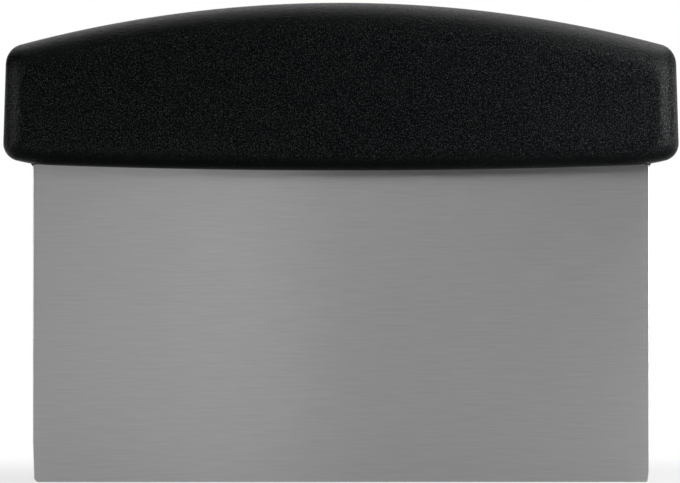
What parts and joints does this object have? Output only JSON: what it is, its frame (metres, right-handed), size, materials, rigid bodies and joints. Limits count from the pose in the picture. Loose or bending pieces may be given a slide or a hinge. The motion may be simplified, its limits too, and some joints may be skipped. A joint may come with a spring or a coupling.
{
  "type": "dough scraper",
  "caption": "Dough scraper: a straight-edged brushed steel blade moulded into a crowned, softly rounded black plastic grip, for cutting, lifting and scraping dough.",
  "frame": {"origin": "middle of the blade's edge, halfway through its thickness", "axes": "+X along the blade's edge, to the right as seen from the front; +Y from the front face to the back; +Z from the edge up to the handle"},
  "size_m": [0.1668, 0.019, 0.1185],
  "materials": {
    "blade_steel": "stainless sheet with a very fine satin brush along the edge",
    "handle_plastic": "black polypropylene with a fine spark-eroded grain"
  },
  "bodies": {
    "root": {"blade": "blade_steel", "handle": "handle_plastic"}
  },
  "joints": []
}
